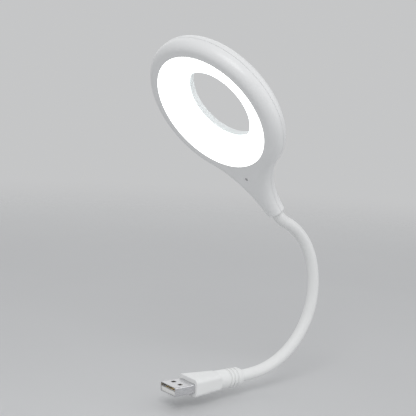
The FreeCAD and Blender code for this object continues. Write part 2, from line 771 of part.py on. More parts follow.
def make_shells():
    outer = head_form("head_outside", ZERO, tail_reach)
    inner = head_form("head_inside", shell_wall, tail_reach - mouth_length)
    hollow = cut("head_hollow", outer, inner)
    front = common("front_half", hollow, half_space("front_space", parting_height, half_head + cut_overrun))
    window = cylinder("lit_window", lit_radius, shell_wall + 2 * cut_overrun, ZERO, ZERO,
                      front_inside - cut_overrun)
    mic_hole = cylinder("mic_hole", mic_hole_diameter / 2, shell_wall + 2 * cut_overrun, ZERO, -mic_reach,
                        front_inside - cut_overrun)
    boss_top = inside_height(control_screw_reach) + shell_wall / 2
    bosses = [spot_cylinder(f"control_boss_{number}", boss_radius, control_board_front, boss_top, spot_xy)
              for number, spot_xy in enumerate(control_screw_spots, 1)]
    pilots = [spot_cylinder(f"control_pilot_{number}", pilot_radius, control_board_front - cut_overrun,
                            control_board_back + screw_length + fit_gap, spot_xy)
              for number, spot_xy in enumerate(control_screw_spots, 1)]
    front = fuse("front_with_bosses", front, *bosses)
    front = cut("front_cut", front, window, mic_hole, *pilots, *neck_entry("front_entry"))
    piece("front_shell", front, head_frame)

    rear = common("rear_half", hollow, half_space("rear_space", -half_head - cut_overrun, parting_height))
    rear = fuse("rear_with_rise", rear, rise_form("rise", ZERO, -half_head, back_inside - shell_wall / 2))
    rear = cut("rear_hollowed", rear, rise_form("rise_room", shell_wall, back_inside, back_inside + cut_overrun))
    wall_top = rim_height - fit_gap
    wall_foot = back_height + shell_wall / 2
    wall = cylinder("hole_wall", hole_radius + shell_wall, wall_top - wall_foot, ZERO, ZERO, wall_foot)
    led_bosses = [spot_cylinder(f"led_boss_{number}", boss_radius, back_inside - shell_wall / 2,
                                led_board_bottom, spot_xy)
                  for number, spot_xy in enumerate(led_screw_spots, 1)]
    led_pilots = [spot_cylinder(f"led_pilot_{number}", pilot_radius, led_board_top - screw_length - fit_gap,
                                led_board_top + cut_overrun, spot_xy)
                  for number, spot_xy in enumerate(led_screw_spots, 1)]
    rear = fuse("rear_with_bosses", rear, wall, *led_bosses)
    hole = cylinder("round_hole", hole_radius, half_head - back_height + 2 * cut_overrun, ZERO, ZERO,
                    back_height - cut_overrun)
    corner = cylinder("hole_corner", hole_radius + hole_round, hole_round + cut_overrun, ZERO, ZERO,
                      back_height - cut_overrun)
    bead = doc.addObject("Part::Torus", "hole_bead")
    bind(bead, Radius1=hole_radius + hole_round, Radius2=hole_round)
    place(bead, ZERO, ZERO, back_height + hole_round)
    rounding = cut("hole_rounding", corner, bead)
    rear = cut("rear_cut", rear, hole, rounding, *led_pilots, *neck_entry("rear_entry"))
    piece("rear_cover", rear, head_frame)


def make_diffuser():
    body = doc.addObject("PartDesign::Body", "diffuser_body")
    profile = new_sketch(body, "diffuser_profile", "XZ_Plane")
    edge = lit_radius - fit_gap
    across = edge - hole_radius
    curve = (across * across + diffuser_depth * diffuser_depth) / (2 * diffuser_depth)
    centre = half_head - curve
    inner_curve = curve - diffuser_wall
    skirt = edge - diffuser_wall
    skirt_top = centre + root(inner_curve * inner_curve - diffuser_wall * diffuser_wall)
    rim_outer = hole_radius + diffuser_wall
    inner_across = edge - rim_outer
    rim_top = centre + root(inner_curve * inner_curve - inner_across * inner_across)
    flange_top = front_inside - fit_gap
    flange_bottom = flange_top - diffuser_wall
    flange_edge = (lit_radius + ring_radius - outer_round) / 2
    corners = [(edge, half_head), (hole_radius, face_height), (hole_radius, rim_height),
               (rim_outer, rim_height), (rim_outer, rim_top), (skirt, skirt_top), (skirt, flange_bottom),
               (flange_edge, flange_bottom), (flange_edge, flange_top), (edge, flange_top)]
    outline(profile, corners, {0: (edge, centre, curve, True), 4: (edge, centre, inner_curve, False)})
    turn_profile(body, profile, "V_Axis")
    piece("diffuser", body, head_frame)


def ring_box(name, sizes, radius, angle, bottom):
    """Box that lies on a ring at an angle, its first side along the radius."""
    thing = bind(doc.addObject("Part::Box", name), Length=sizes[0], Width=sizes[1], Height=sizes[2])
    turn = Rotation(Z_AXIS, angle)
    corner = Vector(radius.number - sizes[0].number / 2, -sizes[1].number / 2, bottom.number)
    thing.Placement = Placement(turn.multVec(corner), turn)
    return thing


def make_led_board():
    disc = cylinder("led_disc", led_board_outer, led_board_thickness, ZERO, ZERO, led_board_bottom)
    bore = cylinder("led_disc_bore", led_board_inner, led_board_thickness + 2 * cut_overrun, ZERO, ZERO,
                    led_board_bottom - cut_overrun)
    holes = [spot_cylinder(f"led_hole_{number}", pilot_radius, led_board_bottom - cut_overrun,
                           led_board_top + cut_overrun, spot_xy)
             for number, spot_xy in enumerate(led_screw_spots, 1)]
    piece("led_board", cut("led_board_cut", disc, bore, *holes), head_frame)
    chips = [ring_box(f"led_{number}", (led_length, led_width, led_height), led_circle,
                      (number + 0.5) * 360 / LEDS, led_board_top) for number in range(LEDS)]
    piece("led_chips", group("led_set", chips), head_frame)


def make_control_board():
    middle_y = -(control_board_start + control_board_end) / 2
    plate = box("control_plate", (2 * control_board_half, control_board_length, control_board_thickness),
                (ZERO, middle_y, control_board_back + control_board_thickness / 2))
    holes = [spot_cylinder(f"control_hole_{number}", pilot_radius, control_board_back - cut_overrun,
                           control_board_front + cut_overrun, spot_xy)
             for number, spot_xy in enumerate(control_screw_spots, 1)]
    piece("control_board", cut("control_board_cut", plate, *holes), head_frame)

    chip_y = -(control_board_start + board_gap + chip_length / 2)
    body = box("chip_body", (chip_width, chip_length, chip_height),
               (ZERO, chip_y, control_board_back - chip_height / 2))
    legs = []
    for number in range(CHIP_LEADS_PER_SIDE):
        along = chip_y + (number - (CHIP_LEADS_PER_SIDE - 1) / 2) * chip_lead_pitch
        legs.append(box(f"chip_leg_{number + 1}",
                        (chip_width + 2 * chip_lead_reach, chip_lead_width, chip_height / 2),
                        (ZERO, along, control_board_back - chip_height / 4)))
    piece("voice_chip", fuse("chip_with_legs", body, *legs), head_frame)

    small_parts = []
    for side in (1, -1):
        for row in range(SMALL_PARTS_PER_SIDE):
            first_reach = control_board_start + board_gap + small_part_width
            reach = first_reach + row * (small_part_width + board_gap)
            spot_x = side * (control_board_half - small_part_length / 2)
            small_parts.append(box(f"small_part_{len(small_parts) + 1}",
                                   (small_part_length, small_part_width, small_part_height),
                                   (spot_x, -reach, control_board_front + small_part_height / 2)))
    piece("board_parts", group("small_part_set", small_parts), head_frame)


def make_microphone():
    capsule = cylinder("mic_capsule", mic_diameter / 2, mic_height, ZERO, -mic_reach, control_board_front)
    piece("microphone", capsule, head_frame)
    boot_bottom = control_board_front + small_part_height
    boot_top = inside_height(mic_reach + boot_radius) - fit_gap
    mic_top = control_board_front + mic_height + fit_gap
    solid = cylinder("boot_solid", boot_radius, boot_top - boot_bottom, ZERO, -mic_reach, boot_bottom)
    room = cylinder("boot_room", mic_diameter / 2 + fit_gap, mic_top - boot_bottom + cut_overrun,
                    ZERO, -mic_reach, boot_bottom - cut_overrun)
    port = cylinder("boot_port", mic_hole_diameter / 2, boot_top - boot_bottom + 2 * cut_overrun,
                    ZERO, -mic_reach, boot_bottom - cut_overrun)
    piece("mic_boot", cut("boot_cut", solid, room, port), head_frame)


def make_head_leads():
    length = head_lead_run + pad_length
    leads = [cylinder(f"head_lead_{number}", lead_radius, length,
                      offset, neck_insert - tail_reach, neck_axis, ALONG_Y)
             for number, offset in enumerate((lead_offset, -lead_offset), 1)]
    piece("head_leads", group("head_lead_set", leads), head_frame)


def make_jumper_leads():
    drop = control_board_back - fit_gap - lead_radius - (led_board_top + fit_gap + lead_radius)
    leads = []
    for side in (1, -1):
        lead = swerving_lead(f"jumper_{side + 2}", lead_radius, pad_length, jumper_run,
                             drop, lead_diameter)
        spot_x = side * (control_board_half - lead_radius - board_gap).number
        towards_ring = Rotation(Vector(0, 1, 0), Vector(0, 0, -1), Vector(-1, 0, 0), "ZXY")
        height = (control_board_back - fit_gap - lead_radius).number
        lead.Placement = Placement(Vector(spot_x, -control_board_start.number, height), towards_ring)
        leads.append(lead)
    piece("jumper_leads", group("jumper_set", leads), head_frame)


def screw(name, seat, spot_xy, down):
    """Small screw with its head on a seat, its shank going down or up."""
    shank_bottom = seat - screw_length if down else seat
    head_bottom = seat if down else seat - screw_head_height
    shank = spot_cylinder(f"{name}_shank", screw_radius, shank_bottom, shank_bottom + screw_length, spot_xy)
    head = spot_cylinder(f"{name}_head", screw_head_diameter / 2, head_bottom,
                         head_bottom + screw_head_height, spot_xy)
    return fuse(name, shank, head)


def make_screws():
    screws = [screw(f"led_screw_{number}", led_board_top, spot_xy, True)
              for number, spot_xy in enumerate(led_screw_spots, 1)]
    screws += [screw(f"control_screw_{number}", control_board_back, spot_xy, False)
               for number, spot_xy in enumerate(control_screw_spots, 1)]
    piece("board_screws", group("screw_set", screws), head_frame)


def make_upper_ferrule():
    crimp = ferrule("upper_ferrule_form")
    seat = Placement(Vector(0, (mouth_length + ferrule_length - tail_reach).number, neck_axis.number),
                     Rotation(Z_AXIS, -90))
    piece("upper_ferrule", crimp, head_frame.multiply(seat))


make_usb_shell()
make_tongue()
make_contacts()
make_plug_leads()
make_inner_mould()
make_grip()
make_lower_ferrule()
for span_number in range(len(span_bends)):
    make_span(span_number)
make_shells()
make_diffuser()
make_led_board()
make_control_board()
make_microphone()
make_head_leads()
make_jumper_leads()
make_screws()
make_upper_ferrule()
doc.recompute()

# Every object has to have come out whole before anything is written
for thing in doc.Objects:
    if "Invalid" in thing.State or "Error" in thing.State:
        raise RuntimeError(f"{thing.Label} failed: {thing.State}")
for thing in pieces:
    if thing.Shape.isNull() or not thing.Shape.isValid() or not thing.Shape.Solids:
        raise RuntimeError(f"{thing.Label} has no valid solid")

os.makedirs("parts", exist_ok=True)
for thing in pieces:
    thing.Shape.exportStep(f"parts/{thing.Label}.step")
for frame in span_frames[1:]:
    print("bend point", [round(value, 3) for value in frame.Base])
print("head", [round(value, 3) for value in head_frame.Base])
print("head turn", [round(value, 5) for value in head_frame.Rotation.Q])
print("pieces", len(pieces))
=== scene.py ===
import json
import math

import bmesh
import bpy
from mathutils import Matrix, Vector

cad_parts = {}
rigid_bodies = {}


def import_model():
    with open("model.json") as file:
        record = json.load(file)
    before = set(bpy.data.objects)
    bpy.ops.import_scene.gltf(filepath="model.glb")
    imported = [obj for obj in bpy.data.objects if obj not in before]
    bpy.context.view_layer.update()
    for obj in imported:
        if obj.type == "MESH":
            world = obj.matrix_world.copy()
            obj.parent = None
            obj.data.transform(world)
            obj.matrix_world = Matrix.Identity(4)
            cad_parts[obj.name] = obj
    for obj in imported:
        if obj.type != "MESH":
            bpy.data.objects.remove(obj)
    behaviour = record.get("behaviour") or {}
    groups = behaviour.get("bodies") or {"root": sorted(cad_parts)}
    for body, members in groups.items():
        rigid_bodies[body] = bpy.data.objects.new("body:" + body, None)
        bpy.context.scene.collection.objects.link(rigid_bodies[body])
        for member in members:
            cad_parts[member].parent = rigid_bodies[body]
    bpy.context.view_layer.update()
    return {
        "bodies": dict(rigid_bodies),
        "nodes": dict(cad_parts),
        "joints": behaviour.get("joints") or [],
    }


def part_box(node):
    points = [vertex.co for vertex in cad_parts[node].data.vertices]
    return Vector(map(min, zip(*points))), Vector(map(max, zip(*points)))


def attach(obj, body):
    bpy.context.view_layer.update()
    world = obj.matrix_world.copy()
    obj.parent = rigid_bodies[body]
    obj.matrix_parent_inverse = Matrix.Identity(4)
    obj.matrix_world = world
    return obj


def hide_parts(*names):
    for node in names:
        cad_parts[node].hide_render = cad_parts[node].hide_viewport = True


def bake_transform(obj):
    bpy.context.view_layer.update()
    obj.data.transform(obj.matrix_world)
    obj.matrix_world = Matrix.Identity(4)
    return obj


# A ring-shaped reading lamp on a flexible neck with a USB plug, dressed over its solid model.
# Metres, in the model's own frame: the plug points along -X, +Z is up.
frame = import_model()
nodes = frame["nodes"]
mm = 0.001


# Plug shell
# The shell is nickel-plated sheet steel, folded to a flat tube with a butt seam underneath.
# Two latch windows are punched through each broad side. Its back half is moulded into the grip.

class Wire:
    """One output of a material's nodes. Arithmetic on wires adds Math nodes to that material."""

    def __init__(self, tree, socket=None):
        self.tree = tree
        self.socket = socket

    def node(self, kind, settings=None, sockets=None, output=0):
        """Add a node with its settings and its sockets' values or wires, and give one of its outputs."""
        made = self.tree.nodes.new(kind)
        for name, value in (settings or {}).items():
            if name == "stops":
                while len(made.color_ramp.elements) < len(value):
                    made.color_ramp.elements.new(1.0)
                for stop, (place, colour) in zip(made.color_ramp.elements, value):
                    stop.position = place
                    stop.color = colour
            else:
                setattr(made, name, value)
        for name, value in (sockets or {}).items():
            if isinstance(value, Wire):
                self.tree.links.new(value.socket, made.inputs[name])
            else:
                made.inputs[name].default_value = value
        return Wire(self.tree, made.outputs[output])

    def math(self, operation, first, second=0.0):
        return self.node("ShaderNodeMath", {"operation": operation}, {0: first, 1: second})

    def __add__(self, other):
        return self.math("ADD", self, other)

    def __sub__(self, other):
        return self.math("SUBTRACT", self, other)

    def __mul__(self, other):
        return self.math("MULTIPLY", self, other)

    __radd__ = __add__


def new_finish(name, **constants):
    """A material, its shader with the sockets that stay constant, and a wire to start patterns from."""
    material = bpy.data.materials.new(name)
    material.use_nodes = True
    shader = material.node_tree.nodes["Principled BSDF"]
    for socket, value in constants.items():
        shader.inputs[socket.replace("_", " ")].default_value = value
    return material, shader, Wire(material.node_tree)


def feed(shader, socket, wire):
    wire.tree.links.new(wire.socket, shader.inputs[socket])


def cloud(wire, scale, detail=3.0, stretch=(1.0, 1.0, 1.0)):
    """Noise over the piece, in patches of about one over the scale, drawn out where stretch is small."""
    place = wire.node("ShaderNodeTexCoord", output="Object")
    drawn = wire.node("ShaderNodeMapping", None, {"Vector": place, "Scale": stretch})
    return wire.node("ShaderNodeTexNoise", None, {"Vector": drawn, "Scale": scale, "Detail": detail})


def between(wire, share, first, second):
    return wire.node("ShaderNodeMix", {"data_type": "RGBA"}, {0: share, 6: first, 7: second}, output=2)


def dented(wire, height, depth, strength):
    return wire.node("ShaderNodeBump", None, {"Strength": strength, "Distance": depth, "Height": height})


def drawn_metal(name, colour, shade, roughness, stretch):
    """Rolled or drawn metal: streaks along one axis, cloudy plating and fine scratches."""
    streak_scale, streak_gloss = 900.0, 0.22
    plating_scale, plating_gloss = 260.0, 0.14
    scratch_depth, scratch_strength = 0.01 * mm, 0.35
    material, shader, wire = new_finish(name, Metallic=1.0)
    streak = cloud(wire, streak_scale, 4.0, stretch)
    plating = cloud(wire, plating_scale)
    feed(shader, "Base Color", between(wire, streak * 0.5 + plating * 0.5, shade, colour))
    feed(shader, "Roughness", roughness + (streak - 0.5) * streak_gloss + (plating - 0.5) * plating_gloss)
    feed(shader, "Normal", dented(wire, streak, scratch_depth, scratch_strength))
    return material


def slab(low, high):
    """Box between two corners."""
    bm = bmesh.new()
    bmesh.ops.create_cube(bm, size=1.0)
    low, high = Vector(low), Vector(high)
    bmesh.ops.scale(bm, vec=high - low, verts=bm.verts)
    bmesh.ops.translate(bm, vec=(low + high) / 2, verts=bm.verts)
    return bm


def edges_along(bm, axis):
    """Edges that run along one axis only."""
    others = [other for other in range(3) if other != axis]
    return [edge for edge in bm.edges
            if all(abs(edge.verts[0].co[other] - edge.verts[1].co[other]) < tiny for other in others)]


def round_edges(bm, edges, radius, segments):
    bmesh.ops.bevel(bm, geom=edges, offset=radius, offset_type="OFFSET", affect="EDGES", segments=segments,
                    profile=0.5, material=-1)


def carved(solid, operation, tool):
    """Boolean of two closed meshes, which are used up."""
    blanks = []
    for bm in (solid, tool):
        mesh = bpy.data.meshes.new("blank")
        bm.to_mesh(mesh)
        bm.free()
        blank = bpy.data.objects.new("blank", mesh)
        bpy.context.scene.collection.objects.link(blank)
        blanks.append(blank)
    knife = blanks[0].modifiers.new("knife", "BOOLEAN")
    knife.operation = operation
    knife.solver = "EXACT"
    knife.object = blanks[1]
    result = bmesh.new()
    result.from_object(blanks[0], bpy.context.evaluated_depsgraph_get())
    for blank in blanks:
        mesh = blank.data
        bpy.data.objects.remove(blank)
        bpy.data.meshes.remove(mesh)
    return result


def finished(name, bm, material, soften=0.0, sharp=32.0):
    """Object from a mesh, smooth but for its sharp edges, which are softened by a small radius."""
    mesh = bpy.data.meshes.new(name)
    bm.to_mesh(mesh)
    bm.free()
    mesh.materials.append(material)
    mesh.shade_smooth()
    mesh.set_sharp_from_angle(angle=math.radians(sharp))
    thing = bpy.data.objects.new(name, mesh)
    bpy.context.scene.collection.objects.link(thing)
    if soften:
        edge = thing.modifiers.new("soft_edges", "BEVEL")
        edge.width = soften
        edge.segments = 2
        edge.limit_method = "ANGLE"
        edge.angle_limit = math.radians(sharp)
        edge.harden_normals = True
    even = thing.modifiers.new("even_shading", "WEIGHTED_NORMAL")
    even.keep_sharp = True
    return thing


shell_low, shell_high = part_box("usb_shell")
tiny = 0.01 * mm
sheet = 0.3 * mm
fold_radius = 0.65 * mm
window_side = 2.2 * mm
window_corner = 0.25 * mm
window_pitch = 5.4 * mm
window_setback = 5.2 * mm
seam_width = 0.09 * mm
seam_depth = 1.5 * sheet
steel_softness = 0.07 * mm
overrun = 2.0 * mm


def flat_tube(low, high, radius):
    """Bar along X between two corners, with round edges."""
    bm = slab(low, high)
    round_edges(bm, edges_along(bm, 0), radius, segments=5)
    return bm


inward = Vector((0, sheet, sheet))
past = Vector((overrun, 0, 0))
plug_tube = carved(flat_tube(shell_low, shell_high, fold_radius), "DIFFERENCE",
                   flat_tube(shell_low + inward - past, shell_high - inward + past, fold_radius - sheet))
for side in (1, -1):
    middle = Vector((shell_low.x + window_setback, side * window_pitch / 2, 0))
    reach = Vector((window_side / 2, window_side / 2, shell_high.z + overrun))
    punch = slab(middle - reach, middle + reach)
    round_edges(punch, edges_along(punch, 2), window_corner, segments=3)
    plug_tube = carved(plug_tube, "DIFFERENCE", punch)
seam_reach = Vector((shell_high.x - shell_low.x, seam_width / 2, seam_depth))
seam_middle = Vector((0, 0, shell_low.z))
plug_tube = carved(plug_tube, "DIFFERENCE", slab(seam_middle - seam_reach, seam_middle + seam_reach))
plated_steel = drawn_metal("plated_steel", (0.74, 0.74, 0.75, 1), (0.6, 0.6, 0.62, 1), roughness=0.27,
                           stretch=(0.08, 1.0, 1.0))
plug_shell = finished("plug_shell", plug_tube, plated_steel, soften=steel_softness)
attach(plug_shell, "plug")
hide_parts("usb_shell")


# Tongue and contacts
# A white insulator fills the lower half of the shell and carries four strips of gold-plated bronze.
# The strips are pressed into slots in it, and their tails run back to the leads.

def moulded(name, colour, shade, roughness, grain=2600.0, depth=0.02 * mm, **constants):
    """Moulded plastic: fine spark grain, a faint drift of tone and an uneven gloss."""
    drift_scale, drift_gloss = 45.0, 0.16
    grain_gloss, grain_strength = 0.08, 0.5
    material, shader, wire = new_finish(name, **constants)
    drift = cloud(wire, drift_scale, 4.0)
    fine = cloud(wire, grain, 2.0)
    feed(shader, "Base Color", between(wire, drift, shade, colour))
    feed(shader, "Roughness", roughness + (drift - 0.5) * drift_gloss + (fine - 0.5) * grain_gloss)
    feed(shader, "Normal", dented(wire, fine, depth, grain_strength))
    return material


def recoat(node, material):
    """Give a solid that is shown as it is a better finish."""
    for slot in nodes[node].material_slots:
        slot.material = material


recoat("usb_tongue", moulded("white_insulator", (0.86, 0.86, 0.84, 1), (0.8, 0.8, 0.79, 1), roughness=0.42))
recoat("usb_contacts", drawn_metal("gold_plating", (0.93, 0.7, 0.33, 1), (0.8, 0.56, 0.22, 1), roughness=0.24,
                                   stretch=(0.1, 1.0, 1.0)))
recoat("inner_mould", moulded("pale_inner_mould", (0.74, 0.73, 0.7, 1), (0.66, 0.66, 0.63, 1), roughness=0.5))


# Grip
# The grip is white PVC moulded over the plug's back and the neck's foot: a tapered box with soft corners,
# and a round collar with three grooves that lets it flex before the neck begins.

grip_length = 17.4 * mm
grip_front = (15.0 * mm, 8.8 * mm)
grip_back = (10.2 * mm, 8.2 * mm)
grip_corner = 2.0 * mm
grip_edge = 0.5 * mm
grip_softness = 0.16 * mm
collar_radius = 4.8 * mm
collar_step = 2.2 * mm
collar_slope = 0.9 * mm
collar_nose = 3.8 * mm
nose_length = 2.2 * mm
groove_count = 3
groove_start = 23.2 * mm
groove_pitch = 2.2 * mm
groove_width = 1.1 * mm
groove_depth = 0.7 * mm
groove_slope = 0.15 * mm
bore_radius = 3.05 * mm
bore_start = 14.0 * mm
bore_steps = 64
fit = 0.05 * mm
collar_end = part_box("plug_overmould")[1].x


def lathed(points, steps, closed=False):
    """Solid turned about Z from points of radius and height; closed joins the last point to the first."""
    bm = bmesh.new()
    corners = [bm.verts.new((radius, 0, height)) for radius, height in points]
    sides = [bm.edges.new(pair) for pair in zip(corners, corners[1:])]
    if closed:
        sides.append(bm.edges.new((corners[-1], corners[0])))
    bmesh.ops.spin(bm, geom=corners + sides, cent=(0, 0, 0), axis=(0, 0, 1), angle=2 * math.pi, steps=steps,
                   use_merge=True)
    bmesh.ops.remove_doubles(bm, verts=bm.verts, dist=tiny / 10)
    bmesh.ops.recalc_face_normals(bm, faces=bm.faces)
    return bm


along_x = Matrix.Rotation(math.pi / 2, 4, "Y")

grip_box = slab((0, -0.5, -0.5), (grip_length, 0.5, 0.5))
for corner in grip_box.verts:
    width, height = grip_back if corner.co.x > 0 else grip_front
    corner.co.y *= width
    corner.co.z *= height
round_edges(grip_box, [edge for edge in grip_box.edges
                       if abs(edge.verts[0].co.x - edge.verts[1].co.x) > grip_length / 2], grip_corner,
            segments=8)
round_edges(grip_box, [edge for edge in grip_box.edges
                       if all(corner.co.x < tiny for corner in edge.verts)], grip_edge, segments=4)

collar_points = [(0, grip_length - collar_step), (collar_radius - collar_slope, grip_length - collar_step),
                 (collar_radius, grip_length)]
floor_radius = collar_radius - groove_depth
for number in range(groove_count):
    near = groove_start + number * groove_pitch
    far = near + groove_width
    collar_points += [(collar_radius, near), (floor_radius, near + groove_slope),
                      (floor_radius, far - groove_slope), (collar_radius, far)]
collar_points += [(collar_radius, collar_end - nose_length), (collar_nose, collar_end), (0, collar_end)]
collar = lathed(collar_points, steps=80)
bmesh.ops.transform(collar, matrix=along_x, verts=collar.verts)
grip_mesh = carved(grip_box, "UNION", collar)
shell_fit = Vector((fit, fit, fit))
shell_room = flat_tube(shell_low - past - shell_fit, shell_high + shell_fit, fold_radius)
grip_mesh = carved(grip_mesh, "DIFFERENCE", shell_room)
mould_low, mould_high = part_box("inner_mould")
mould_room = slab(mould_low - shell_fit, mould_high + shell_fit)
grip_mesh = carved(grip_mesh, "DIFFERENCE", mould_room)
bore_run = lathed([(0, bore_start), (bore_radius, bore_start), (bore_radius, collar_end + overrun),
                   (0, collar_end + overrun)], bore_steps)
bmesh.ops.transform(bore_run, matrix=along_x, verts=bore_run.verts)
grip_mesh = carved(grip_mesh, "DIFFERENCE", bore_run)
white_pvc = moulded("white_pvc", (0.86, 0.865, 0.86, 1), (0.82, 0.825, 0.82, 1), roughness=0.44, grain=2200.0,
                    depth=0.03 * mm)
grip = finished("grip", grip_mesh, white_pvc, soften=grip_softness)
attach(grip, "plug")
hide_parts("plug_overmould")


# Neck
# A smooth white silicone sleeve drawn over a soft steel wire and two leads. It is one unbroken tube, crimped
# in the collar and in the tail, so each stretch here runs across one of the neck's bend points.

bodies = list(frame["bodies"])
bend_points = [Vector(joint["pos_m"]) for joint in frame["joints"]]
top_length = 9.0 * mm
top_turn = math.radians(-30.1)
top_roll = math.radians(6.0)
root_run = 6.0 * mm
tip_run = 7.0 * mm
neck_radius = 3.0 * mm
neck_sides = 44
span_steps = 10
neck_sharpness = 60.0


class Span:
    """An arc of the neck: where it starts, how it faces there, and how far it turns."""

    def __init__(self, start, facing, turn, radius):
        self.turn = turn
        self.centre = start + facing @ Vector((0, 0, radius))
        self.axis = facing @ Vector((0, -1, 0))
        self.start = Matrix.Translation(start) @ facing.to_4x4()

    def at(self, share):
        """Place on the neck's line, at a share of the arc."""
        away = Matrix.Translation(self.centre)
        return away @ Matrix.Rotation(self.turn * share, 4, self.axis) @ away.inverted() @ self.start


spans = []
heading = 0.0
starts = [Vector((collar_end, 0, 0))] + bend_points
for here, there in zip(starts, bend_points):
    chord = there - here
    turn = 2 * (math.atan2(chord.z, chord.x) - heading)
    spans.append(Span(here, Matrix.Rotation(-heading, 3, "Y"), turn, chord.length / (2 * math.sin(turn / 2))))
    heading += turn
top_facing = Matrix.Rotation(-heading, 3, "Y") @ Matrix.Rotation(top_roll, 3, "X")
spans.append(Span(bend_points[-1], top_facing, top_turn, top_length / top_turn))


def tube(stretches, lead_in=0.0, lead_out=0.0):
    """Closed round tube along stretches of spans, given as span and shares, with straight ends."""
    bm = bmesh.new()
    span, first, _ = stretches[0]
    start = span.at(first) @ Matrix.Translation((-lead_in, 0, 0)) @ along_x
    ring = bmesh.ops.create_circle(bm, segments=neck_sides, radius=neck_radius, matrix=start)["verts"]
    loop = ring + list({edge for corner in ring for edge in corner.link_edges})

    def straight(loop, step):
        """Draw the open end of the tube out by a step, and give its new end."""
        sides = [part for part in loop if isinstance(part, bmesh.types.BMEdge)]
        grown = bmesh.ops.extrude_edge_only(bm, edges=sides)["geom"]
        ends = [part for part in grown if isinstance(part, bmesh.types.BMVert)]
        bmesh.ops.translate(bm, vec=step, verts=ends)
        return ends + [part for part in grown if isinstance(part, bmesh.types.BMEdge)
                       and all(end in ends for end in part.verts)]

    if lead_in:
        loop = straight(loop, span.at(first).to_3x3() @ Vector((lead_in, 0, 0)))
    for span, first, last in stretches:
        loop = bmesh.ops.spin(bm, geom=loop, cent=span.centre, axis=span.axis,
                              angle=span.turn * (last - first), steps=span_steps)["geom_last"]
    if lead_out:
        straight(loop, span.at(last).to_3x3() @ Vector((lead_out, 0, 0)))
    bmesh.ops.holes_fill(bm, edges=[edge for edge in bm.edges if edge.is_boundary], sides=0)
    bmesh.ops.recalc_face_normals(bm, faces=bm.faces)
    return bm


def soft_silicone():
    """Smooth silicone: a satin skin, fine lint in the gloss and hardly any grain."""
    drift_scale, skin_scale, lint_scale = 60.0, 1500.0, 700.0
    roughness, drift_gloss, lint_gloss = 0.46, 0.14, 0.12
    grain_depth, grain_strength = 0.015 * mm, 0.4
    material, shader, wire = new_finish("soft_silicone", Specular_IOR_Level=0.4)
    drift = cloud(wire, drift_scale, 4.0)
    skin = cloud(wire, skin_scale)
    lint = cloud(wire, lint_scale, 6.0)
    specks = wire.node("ShaderNodeMapRange", None, {"Value": lint, "From Min": 0.62, "From Max": 0.74})
    feed(shader, "Base Color", between(wire, drift, (0.82, 0.825, 0.82, 1), (0.86, 0.865, 0.86, 1)))
    feed(shader, "Roughness", roughness + (drift - 0.5) * drift_gloss + specks * lint_gloss)
    feed(shader, "Normal", dented(wire, skin, grain_depth, grain_strength))
    return material


silicone = soft_silicone()
root = finished("neck_root", tube([(spans[0], 0.0, 0.5)], lead_in=root_run), silicone, sharp=neck_sharpness)
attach(root, bodies[0])
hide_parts("neck_sleeve_1")
for number in range(len(bend_points)):
    before, after = spans[number], spans[number + 1]
    last = number == len(bend_points) - 1
    sleeve = tube([(before, 0.5, 1.0), (after, 0.0, 1.0 if last else 0.5)], lead_out=tip_run if last else 0.0)
    stretch = finished(f"neck_stretch_{number + 1}", sleeve, silicone, sharp=neck_sharpness)
    before.at(0.5).translation
    after.at(0.5 if not last else 0.9).translation
    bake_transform(stretch)
    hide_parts(f"neck_sleeve_{number + 2}")


# Head shells
# Two white ABS mouldings meet in a fine seam round the side: a front with the window for the lit ring, and a
# back with the wall of the open hole and a raised rim round it. Their tail closes on the neck's crimped end.

ring_radius = 38.4 * mm
half_head = 5.4 * mm
bezel_width = 6.8 * mm
lit_width = 11.5 * mm
wall = 1.5 * mm
edge_round = 4.2 * mm
end_round = 1.1 * mm
hole_round = 1.2 * mm
back_rise = 3.8 * mm
rise_reach = 29.6 * mm
parting_depth = 6.0 * mm
seam_gap = 0.05 * mm
shell_softness = 0.12 * mm
head_steps = 144
tail_reach = 65.0 * mm
tail_straight = 2.0 * mm
tail_half = 4.45 * mm
mouth_length = 5.0 * mm
taper_setback = 2.4 * mm
diffuser_depth = 4.7 * mm
diffuser_rim = 5.9 * mm
head_twist = math.radians(0.7)
mic_reach = 39.4 * mm
mic_radius = 0.9 * mm
mic_steps = 28

parting = half_head - parting_depth
lit_radius = ring_radius - bezel_width
hole_radius = lit_radius - lit_width
neck_axis = tail_half - half_head
flank_reach = tail_reach - tail_straight
flank_radius = (tail_half ** 2 + flank_reach ** 2 - ring_radius ** 2) / (2 * (ring_radius - tail_half))
taper_reach = ring_radius - taper_setback
taper_run = tail_reach - taper_reach
taper_drop = 2 * (half_head - tail_half)
taper_radius = (taper_run ** 2 + taper_drop ** 2) / (2 * taper_drop)
rim_height = half_head - diffuser_depth - diffuser_rim
back_height = -half_head - back_rise
rise_start = hole_radius + hole_round
rise_run = rise_reach - rise_start
rise_curve = (rise_run ** 2 + back_rise ** 2) / (2 * back_rise)

neck_end = spans[-1].at(1.0)
to_head = neck_end @ Matrix.Rotation(-math.pi / 2, 4, "Z") @ Matrix.Rotation(head_twist, 4, "Y")
to_head = to_head @ Matrix.Translation((0, tail_reach, -neck_axis))


